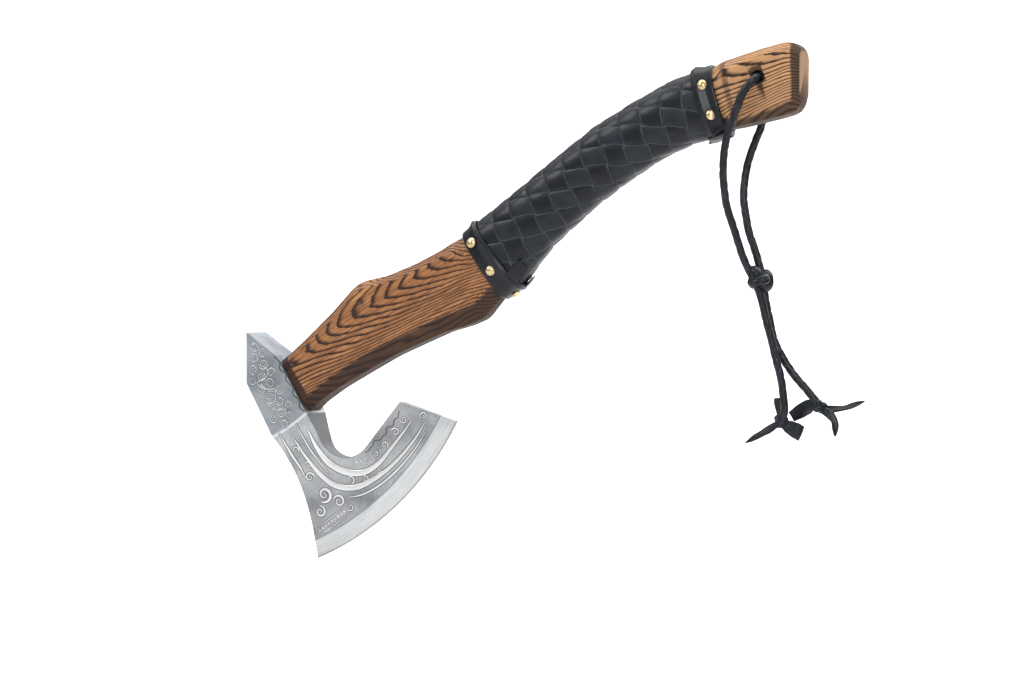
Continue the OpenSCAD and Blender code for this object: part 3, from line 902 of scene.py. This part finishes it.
buildCollar("lowerCollar", "lower_collar", collars["lower"])
buildCollar("upperCollar", "upper_collar", collars["upper"])
print("collars done")


# metal
def brassMaterial():
    paint = Paint("agedBrass", Metallic=1.0)
    broad = paint.noise(260.0, 4.0, 0.6)
    fine = paint.noise(1600.0, 3.0, 0.6)
    tones = [(0.3, (0.30, 0.22, 0.11)), (0.55, (0.62, 0.5, 0.29)), (0.75, (0.78, 0.68, 0.46))]
    colour = paint.ramp(broad, tones)
    return paint.connect(Base_Color=colour, Roughness=0.24 + fine * 0.2,
                         Normal=paint.bump(fine, 0.15, 0.0002))


tackBrass = brassMaterial()


def nodeTree(name, inputs):  # an empty Geometry Nodes group with named inputs
    tree = bpy.data.node_groups.new(name, "GeometryNodeTree")
    tree.interface.new_socket("Geometry", in_out="INPUT", socket_type="NodeSocketGeometry")
    sockets = {}
    for label, kind in inputs.items():
        sockets[label] = tree.interface.new_socket(label, in_out="INPUT", socket_type=kind).identifier
    tree.interface.new_socket("Geometry", in_out="OUTPUT", socket_type="NodeSocketGeometry")
    return tree, sockets


def link(tree, output, inputSocket):
    tree.links.new(output, inputSocket)


def scatterTree():  # domed head on a shank at each point, turned to the point's direction
    tree, sockets = nodeTree("domesOnPoints", {
        "Dome": "NodeSocketObject", "Size": "NodeSocketFloat", "Size Change": "NodeSocketFloat",
        "Seed": "NodeSocketInt", "Material": "NodeSocketMaterial"})
    given = tree.nodes.new("NodeGroupInput")
    result = tree.nodes.new("NodeGroupOutput")
    info = tree.nodes.new("GeometryNodeObjectInfo")
    points = tree.nodes.new("GeometryNodeMeshToPoints")
    instances = tree.nodes.new("GeometryNodeInstanceOnPoints")
    facing = tree.nodes.new("GeometryNodeInputNamedAttribute")
    facing.data_type = "FLOAT_VECTOR"
    facing.inputs["Name"].default_value = "facing"
    turn = tree.nodes.new("FunctionNodeAlignEulerToVector")
    turn.axis = "Z"
    chance = tree.nodes.new("FunctionNodeRandomValue")
    low = tree.nodes.new("ShaderNodeMath")
    low.operation = "SUBTRACT"
    high = tree.nodes.new("ShaderNodeMath")
    realize = tree.nodes.new("GeometryNodeRealizeInstances")
    paintIt = tree.nodes.new("GeometryNodeSetMaterial")
    link(tree, given.outputs["Geometry"], points.inputs["Mesh"])
    link(tree, given.outputs["Dome"], info.inputs["Object"])
    link(tree, points.outputs[0], instances.inputs["Points"])
    link(tree, info.outputs["Geometry"], instances.inputs["Instance"])
    link(tree, facing.outputs["Attribute"], turn.inputs["Vector"])
    link(tree, turn.outputs[0], instances.inputs["Rotation"])
    for maths in (low, high):
        link(tree, given.outputs["Size"], maths.inputs[0])
        link(tree, given.outputs["Size Change"], maths.inputs[1])
    link(tree, low.outputs[0], chance.inputs[2])
    link(tree, high.outputs[0], chance.inputs[3])
    link(tree, given.outputs["Seed"], chance.inputs["Seed"])
    link(tree, chance.outputs[1], instances.inputs["Scale"])
    link(tree, instances.outputs[0], realize.inputs[0])
    link(tree, realize.outputs[0], paintIt.inputs["Geometry"])
    link(tree, given.outputs["Material"], paintIt.inputs["Material"])
    link(tree, paintIt.outputs[0], result.inputs[0])
    return tree, sockets


domesOnPoints, domeSockets = scatterTree()


def lathe(name, profile, sides, material):  # profile of (radius, height), closed on its axis
    turns = [math.tau * i / sides for i in range(sides)]
    verts = [(r * mm * math.cos(turn), r * mm * math.sin(turn), z * mm) for r, z in profile for turn in turns]
    return addPiece(name, verts, tubeFaces(len(profile), sides), material)


def scatter(name, spots, dome, size, change, material):  # spots are (place, facing) in metres
    mesh = bpy.data.meshes.new(name + "Points")
    mesh.from_pydata([tuple(spot) for spot, facing in spots], [], [])
    layer = mesh.attributes.new("facing", "FLOAT_VECTOR", "POINT")
    for i, (spot, facing) in enumerate(spots):
        layer.data[i].vector = facing
    carrier = bpy.data.objects.new(name + "Points", mesh)
    scene.collection.objects.link(carrier)
    modifier = carrier.modifiers.new("scatter", "NODES")
    modifier.node_group = domesOnPoints
    values = {"Dome": dome, "Size": size, "Size Change": change, "Seed": 7, "Material": material}
    for label, value in values.items():
        modifier[domeSockets[label]] = value
    result = evaluatedMesh(carrier)
    carrier.modifiers.remove(modifier)
    bpy.data.objects.remove(carrier)
    result.shade_smooth()
    if not result.materials:
        result.materials.append(material)
    made = bpy.data.objects.new(name, result)
    scene.collection.objects.link(made)
    return made


tacks = {
    "head": [(0.02, 1.9), (0.9, 1.82), (1.8, 1.55), (2.6, 1.1), (3.2, 0.55), (3.6, 0.12), (3.55, -0.15),
             (2.8, -0.2),
             (0.8, -0.2), (0.7, -6.0), (0.3, -8.0), (0.02, -8.6)],
    "lower": [((123.4, -15.6, 219.5), 40, 14), ((137.6, -15.6, 200.4), 40, -14)],
    "upper": [((287.8, -15.6, 321.5), 16, 12), ((293.6, -15.6, 301.5), 16, -12)],
    "under": ((150.3, 0, 184.9), 140),
}


def tackSpots(rows):  # on both faces, leaning as the surface does
    spots = []
    for (x, y, z), axis, lean in rows:
        axis, lean = math.radians(axis), math.radians(lean)
        rise = Vector((-math.sin(axis), 0, math.cos(axis)))
        for side in (1, -1):
            facing = Vector((0, -side, 0)) * math.cos(lean) + rise * math.sin(lean)
            spots.append((Vector((x, side * y, z)) * mm, facing.normalized()))
    return spots


def buildTacks():
    dome = lathe("tackShape", tacks["head"], 24, tackBrass)
    faceOutward(dome)
    lower = tackSpots(tacks["lower"])
    (x, y, z), turn = tacks["under"]
    turn = math.radians(turn)
    lower.append((Vector((x, y, z)) * mm, Vector((math.sin(turn), 0, math.cos(turn)))))
    for name, node, spots in (("lowerCollarTacks", "lower_collar_tacks", lower),
                              ("upperCollarTacks", "upper_collar_tacks", tackSpots(tacks["upper"]))):
        made = scatter(name, spots, dome, 1.0, 0.02, tackBrass)
        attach(made, "hatchet")
        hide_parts(node)
    bpy.data.objects.remove(dome)


buildTacks()
print("tacks done")

# head: steel of the forging, with the cheek ornament raised on it
head = {
    "edgeCentre": (-81, 196), "blockHalf": 15,
    "cheek": [(212, 0.3), (199.5, 2.5), (185, 3.4), (169, 4.6), (150, 7), (135, 10.5), (122, 15), (0, 15)],
    "beard": (24, 90.4, 19), "toeHollow": (-176.4, -10.9, 176.7),
}


def steelMaterial():
    paint = Paint("forgedSteel", Metallic=1.0)
    x, z = paint.axis("X") * 1000.0, paint.axis("Z") * 1000.0
    centreX, centreZ = head["edgeCentre"]
    dx, dz = x - centreX, z - centreZ
    radius = (dx * dx + dz * dz) ** 0.5
    angle = dz.math("ARCTAN2", dz, dx)
    ground = radius.step(199.2, 199.6)
    line = ground * radius.step(200.4, 199.9)
    fine = paint.noise(1900.0, 3.0, 0.6)
    grit = paint.noise(900.0, 4.0, 0.7)
    cloud = paint.noise(38.0, 4.0, 0.55)
    brushed = paint.noise(1.0, 3.0, 0.6, paint.vector(radius * 3.0, angle * 9.0, 0.0))
    rolled = paint.noise(1.0, 3.0, 0.6, paint.vector(x * 0.35 + z * 0.55, z * 2.6 - x * 1.6, 0.0))
    cheek = paint.blend(cloud.step(0.3, 0.7), (0.21, 0.218, 0.228), (0.42, 0.43, 0.44))
    cheek = paint.blend(grit.step(0.5, 0.66) * 0.4, cheek, (0.1, 0.104, 0.11))
    poll = paint.blend(cloud.step(0.3, 0.7), (0.17, 0.185, 0.21), (0.33, 0.35, 0.38))
    block = radius.step(128.0, 118.0)
    colour = paint.blend(block, cheek, poll)
    # painted highlight: a bright line along the crease where the block meets the cheek taper
    creaseHighlight = radius.step(121.6, 122.4) * radius.step(124.2, 123.2)
    colour = paint.blend(creaseHighlight * 0.5, colour, (0.7, 0.71, 0.73))
    polish = paint.blend(brushed.step(0.3, 0.7), (0.4, 0.41, 0.42), (0.58, 0.59, 0.6))
    # painted reflection: random darker bluish patches on the ground bevel stand in for a dark reflection
    darkReflectionPatches = paint.noise(26.0, 2.0, 0.5).step(0.52, 0.72)
    colour = paint.blend(ground, colour, paint.blend(darkReflectionPatches * 0.6, polish, (0.24, 0.26, 0.29)))
    colour = paint.blend(radius.step(210.4, 211.4) * 0.6, colour, (0.16, 0.14, 0.125))
    colour = paint.blend(line * 0.7, colour, (0.12, 0.12, 0.12))
    # painted shade: the inner face of the beard and the slanted side of the neck painted darker
    beardX, beardZ = x - head["beard"][0], z - head["beard"][1]
    innerShade = ((beardX * beardX + beardZ * beardZ) ** 0.5).step(19.6, 19.15)
    neck = (x - 7.4) * 0.921 + (z - 81.1) * 0.389
    neckSideShade = neck.step(-0.4, -0.15) * neck.step(0.5, 0.3) * z.step(77.0, 80.0) * z.step(103.0, 101.0)
    innerShade = innerShade.math("MAXIMUM", innerShade, neckSideShade)
    colour = paint.blend(innerShade * 0.8, colour, (0.07, 0.073, 0.078))
    rough = 0.42 + grit * 0.16 - ground * 0.13 - innerShade * 0.05 + block * 0.02
    height = grit * (1.0 - ground) * 0.8 + brushed * ground * 0.5 + rolled * block * 0.35 + fine * 0.25
    return paint.connect(Base_Color=colour, Roughness=rough, Normal=paint.bump(height, 0.3, 0.00025))


def reliefMaterial():
    paint = Paint("polishedRelief", Metallic=1.0)
    cloud = paint.noise(60.0, 3.0, 0.55)
    fine = paint.noise(1500.0, 3.0, 0.6)
    colour = paint.blend(cloud, (0.5, 0.505, 0.51), (0.68, 0.685, 0.69))
    return paint.connect(Base_Color=colour, Roughness=0.3 + fine * 0.16, Normal=paint.bump(fine, 0.2, 0.0002))


# dark lines: the etched lines of the ornament, and the painted shade along the eye's edge
def grooveAndGapShadeMaterial():
    paint = Paint("etchedLineAndGapShade", Metallic=0.6)
    fine = paint.noise(900.0, 3.0, 0.6)
    colour = paint.blend(fine, (0.05, 0.05, 0.052), (0.12, 0.12, 0.125))
    return paint.connect(Base_Color=colour, Roughness=0.55 + fine * 0.2, Normal=paint.bump(fine, 0.2, 0.0002))


forgedSteel = steelMaterial()
polishedRelief = reliefMaterial()
etchedLineAndGapShade = grooveAndGapShadeMaterial()


def cheekHalf(x, z):  # half thickness of the head at a place, in mm
    radius = math.hypot(x - head["edgeCentre"][0], z - head["edgeCentre"][1])
    for (r0, h0), (r1, h1) in zip(head["cheek"], head["cheek"][1:]):
        if radius >= r1:
            return h0 + (h1 - h0) * (r0 - radius) / (r0 - r1)
    return head["blockHalf"]


def onHead(x, z):  # inside the outline, clear of the beard and the hollow under the toe
    bx, bz, br = head["beard"]
    tx, tz, tr = head["toeHollow"]
    radius = math.hypot(x - head["edgeCentre"][0], z - head["edgeCentre"][1])
    return math.hypot(x - bx, z - bz) > br + 1.6 and math.hypot(x - tx, z - tz) > tr + 1.6 and radius < 198


def scroll(x, z, size, turns, start, hand):  # spiral that runs out to its rim
    points = []
    for i in range(41):
        t = i / 40
        angle = math.radians(start) + hand * 2 * math.pi * turns * (1 - t)
        r = size * (0.12 + 0.88 * t)
        points.append((x + r * math.cos(angle), z + r * math.sin(angle)))
    return points


ornament = {
    "rise": 0.22, "lineWidth": 0.42, "lineRise": 0.12,
    "ribbons": [
        ([(-2, 90), (3, 78), (11, 67.5), (23, 61.5), (36.5, 61), (48, 67.5), (58.4, 79), (66.6, 88.7),
          (73.4, 97.7)],
         [1, 3.2, 4.6, 5, 4.2, 3.4, 2.8, 1.8, 0.7]),
        ([(-13, 84), (-5, 70.5), (5, 58.5), (17, 51), (31, 50.6), (43.5, 56), (56, 64.5), (67, 75),
          (76, 85.5), (83, 96)],
         [0.8, 2, 3.2, 4, 4, 3.4, 2.8, 2.4, 1.8, 0.7]),
        ([(-23, 88), (-19.5, 80), (-15.5, 72), (-10.5, 64), (-6.5, 56)], [0.5, 1.4, 1.9, 1.5, 0.5]),
        ([(-10, 95), (-6.5, 86), (-1.5, 76), (4.5, 67.5), (11.5, 59.5)], [0.4, 1.0, 1.2, 1.0, 0.4]),
        (scroll(-12.5, 76, 2.4, 1.4, 330, 1), [0.4, 0.7, 1.0, 1.1]),
        (scroll(-4, 65.5, 2.3, 1.4, 150, -1), [0.4, 0.7, 1.0, 1.1]),
        (scroll(38.5, 56.3, 2.4, 1.4, 120, -1), [0.4, 0.7, 1.0, 1.1]),
        (scroll(48.6, 61.6, 1.9, 1.3, 320, 1), [0.4, 0.6, 0.8, 0.9]),
        (scroll(61.4, 89.6, 2.9, 1.5, 160, -1), [0.4, 0.8, 1.1, 1.2]),
        (scroll(53.4, 80.4, 2.6, 1.5, 320, 1), [0.4, 0.7, 1.0, 1.1]),
        (scroll(67.8, 98.2, 2.4, 1.4, 200, 1), [0.4, 0.7, 0.9, 1.0]),
        (scroll(46.2, 74.0, 2.0, 1.4, 100, -1), [0.4, 0.6, 0.8, 0.9]),
        (scroll(26.6, 36.6, 2.6, 1.4, 210, 1), [0.4, 0.7, 1.0, 1.1]),
        ([(25, 43.5), (34, 45), (44, 49.5), (55, 57), (66, 67), (76, 78.5), (84.5, 91)],
         [0.4, 1.1, 1.5, 1.7, 1.5, 1.1, 0.4]),
        (scroll(7, 45, 5.6, 1.5, 250, 1), [0.6, 1.2, 1.9, 2.3, 1.2]),
        (scroll(18, 40.5, 4.4, 1.5, 160, -1), [0.6, 1.0, 1.5, 1.8, 1.0]),
        (scroll(3.5, 33, 4.0, 1.5, 90, -1), [0.6, 1.0, 1.5, 1.7, 0.9]),
        (scroll(27, 55.8, 3.0, 1.3, 300, 1), [0.5, 0.8, 1.1, 1.3]),
        (scroll(-3.5, 57, 3.4, 1.4, 20, 1), [0.4, 0.8, 1.2, 1.4]),
        (scroll(82.5, 101, 2.8, 1.4, 200, -1), [0.4, 0.7, 1.0, 1.1]),
        ([(1.6, 22), (8, 26.2), (14.5, 31), (21, 36)], [0.4, 0.8, 0.8, 0.4]),
        ([(3.6, 17), (11, 21.6), (18.5, 27), (26.5, 33)], [0.4, 0.8, 0.8, 0.4]),
        ([(-46, 151), (-38.8, 147.5), (-39, 140.5), (-39, 135.6), (-32, 132.6), (-32.8, 127),
          (-40, 122.5), (-33.4, 118.6),
          (-26, 118), (-26.2, 110), (-32, 108.6), (-25, 104), (-18, 105), (-17.8, 98), (-23, 95.8)],
          [0.3, 0.5, 0.5, 0.3]),
        *[(scroll(x, z, size, 1.9, 70 * k, 1 if k % 2 else -1), [0.25, 0.4, 0.5, 0.5]) for k,
          (x, z, size) in enumerate([
            (-42, 148, 3.6), (-35.5, 143.5, 3.2), (-42.5, 140, 3.3), (-35, 135.8, 3.7), (-42.8, 132, 3.5),
            (-28.8, 130.4, 3.2),
            (-36.6, 127, 3.3), (-43, 124, 3.0), (-30, 122.6, 3.6), (-37, 118.6, 3.3), (-22.6, 118.4, 3.2),
            (-29.5, 114, 3.4),
            (-35.4, 111, 2.6), (-22.4, 110.4, 3.3), (-28.6, 105.4, 3.5), (-15.6, 107.8, 2.9),
            (-21, 102.2, 3.3), (-26.6, 97.4, 3.0),
            (-14.4, 100, 3.0), (-18.8, 94.2, 3.2)])],
    ],
    "cusps": [(64.6, 104.2), (63.4, 99.6), (61, 98), (59.6, 94), (55.4, 92.6), (54.8, 88.6), (52.6, 87),
              (50, 84),
              (45.4, 83), (44.6, 80), (42.4, 78.2), (40.4, 75.6), (36.6, 75.2)],
    # a dark lobed line along the eye's edge: painted shade of the gap where the wood meets the head
    "eyeEdgeShade": [(-26.6, 141.4), (-22.2, 137.2), (-22.4, 132.8), (-17.6, 129.4), (-17.2, 124.4),
               (-12.2, 120), (-11.8, 115),
               (-7.4, 111.4), (-6.6, 106.4), (-2.8, 102.8)],
    "dotShape": [(0.01, 0.3), (0.5, 0.25), (0.85, 0.08), (0.9, -0.2), (0.01, -0.2)],
    "dots": [
        (32, 68.2), (35.4, 68.9), (38.8, 70.2), *[(2.9 + 2.35 * k, 19.6 + 1.72 * k) for k in range(9)],
    ],
}


def layRibbon(points, widths, rise, verts, faces, edge=0.0):  # a strip that follows the cheek
    path = smoothPath([Vector((x, 0, z)) for x, z in points], 0.55)
    count = len(path)
    rings = []
    for i, spot in enumerate(path):
        along = (path[min(i + 1, count - 1)] - path[max(i - 1, 0)]).normalized()
        across = Vector((-along.z, 0, along.x))
        half = widthAt(widths, i / (count - 1)) / 2 + edge
        rings.append([(spot + across * half * s, lift) for s, lift in
                      ((-1, -0.25), (-1, 0.45), (-0.7, 1), (0, 1.15), (0.7, 1), (1, 0.45), (1, -0.25))])
    good = [all(onHead(p.x, p.z) for p, lift in ring) for ring in rings]
    i = 0
    while i < count:
        j = i
        while j < count and good[j]:
            j += 1
        if j - i > 3:
            start = len(verts)
            for ring in rings[i:j]:
                for p, lift in ring:
                    verts.append(Vector((p.x, -(cheekHalf(p.x, p.z) + rise * lift), p.z)) * mm)
            faces += tubeFaces(j - i, 7, start=start)
        i = max(j, i + 1)


def buildOrnament():
    raised, lines = ([], []), ([], [])
    for points, widths in ornament["ribbons"]:
        layRibbon(points, widths, ornament["rise"], *raised)
        edge = min(ornament["lineWidth"], 0.45 * max(widths))
        layRibbon(points, widths, ornament["lineRise"], *lines, edge=edge)
    layRibbon(ornament["cusps"], [0.7, 0.9, 0.7], ornament["lineRise"], *lines)
    # painted shade: dark line along the eye's edge
    layRibbon(ornament["eyeEdgeShade"], [1.0, 1.3, 0.9, 1.4, 1.0], ornament["lineRise"], *lines)
    for name, shape, material in (("cheekRibbons", raised, polishedRelief),
                                  ("cheekLines", lines, etchedLineAndGapShade)):
        piece = addPiece(name, *shape, material)
        faceOutward(piece)
        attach(piece, "hatchet")
    dome = lathe("dotShape", ornament["dotShape"], 12, polishedRelief)
    faceOutward(dome)
    places = [(x, z) for x, z in ornament["dots"] if onHead(x, z)]
    spots = [(Vector((x, -cheekHalf(x, z), z)) * mm, Vector((0, -1, 0))) for x, z in places]
    dots = scatter("cheekDots", spots, dome, 0.85, 0.15, polishedRelief)
    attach(dots, "hatchet")
    bpy.data.objects.remove(dome)


buildOrnament()


# pieces that stay as they are take only a material
def wedgeMaterial():
    paint = Paint("wedgeEndGrain", Specular_IOR_Level=0.3)
    fibre = paint.noise(900.0, 4.0, 0.65)
    stretched = paint.vector(paint.axis("X") * 90.0, paint.axis("Y") * 900.0, paint.axis("Z") * 90.0)
    streak = paint.noise(1.0, 3.0, 0.6, stretched)
    colour = paint.ramp(streak * 0.6 + fibre * 0.4, [(0.3, (0.2, 0.1, 0.045)), (0.7, (0.55, 0.36, 0.19))])
    return paint.connect(Base_Color=colour, Roughness=0.6 + fibre * 0.2,
                         Normal=paint.bump(fibre, 0.3, 0.0003))


def wedgeSteelMaterial():
    paint = Paint("wedgeSteel", Metallic=1.0)
    rust = paint.noise(500.0, 4.0, 0.6)
    colour = paint.blend(rust, (0.2, 0.2, 0.2), (0.42, 0.42, 0.42))
    return paint.connect(Base_Color=colour, Roughness=0.4 + rust * 0.25,
                         Normal=paint.bump(rust, 0.25, 0.0003))


def paintNode(node, material):
    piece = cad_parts[node]
    for i in range(max(1, len(piece.material_slots))):
        if i < len(piece.material_slots):
            piece.material_slots[i].material = material
        else:
            piece.data.materials.append(material)


paintNode("axe_head", forgedSteel)
paintNode("eye_wedge", wedgeMaterial())
paintNode("steel_wedge", wedgeSteelMaterial())
print("head done")
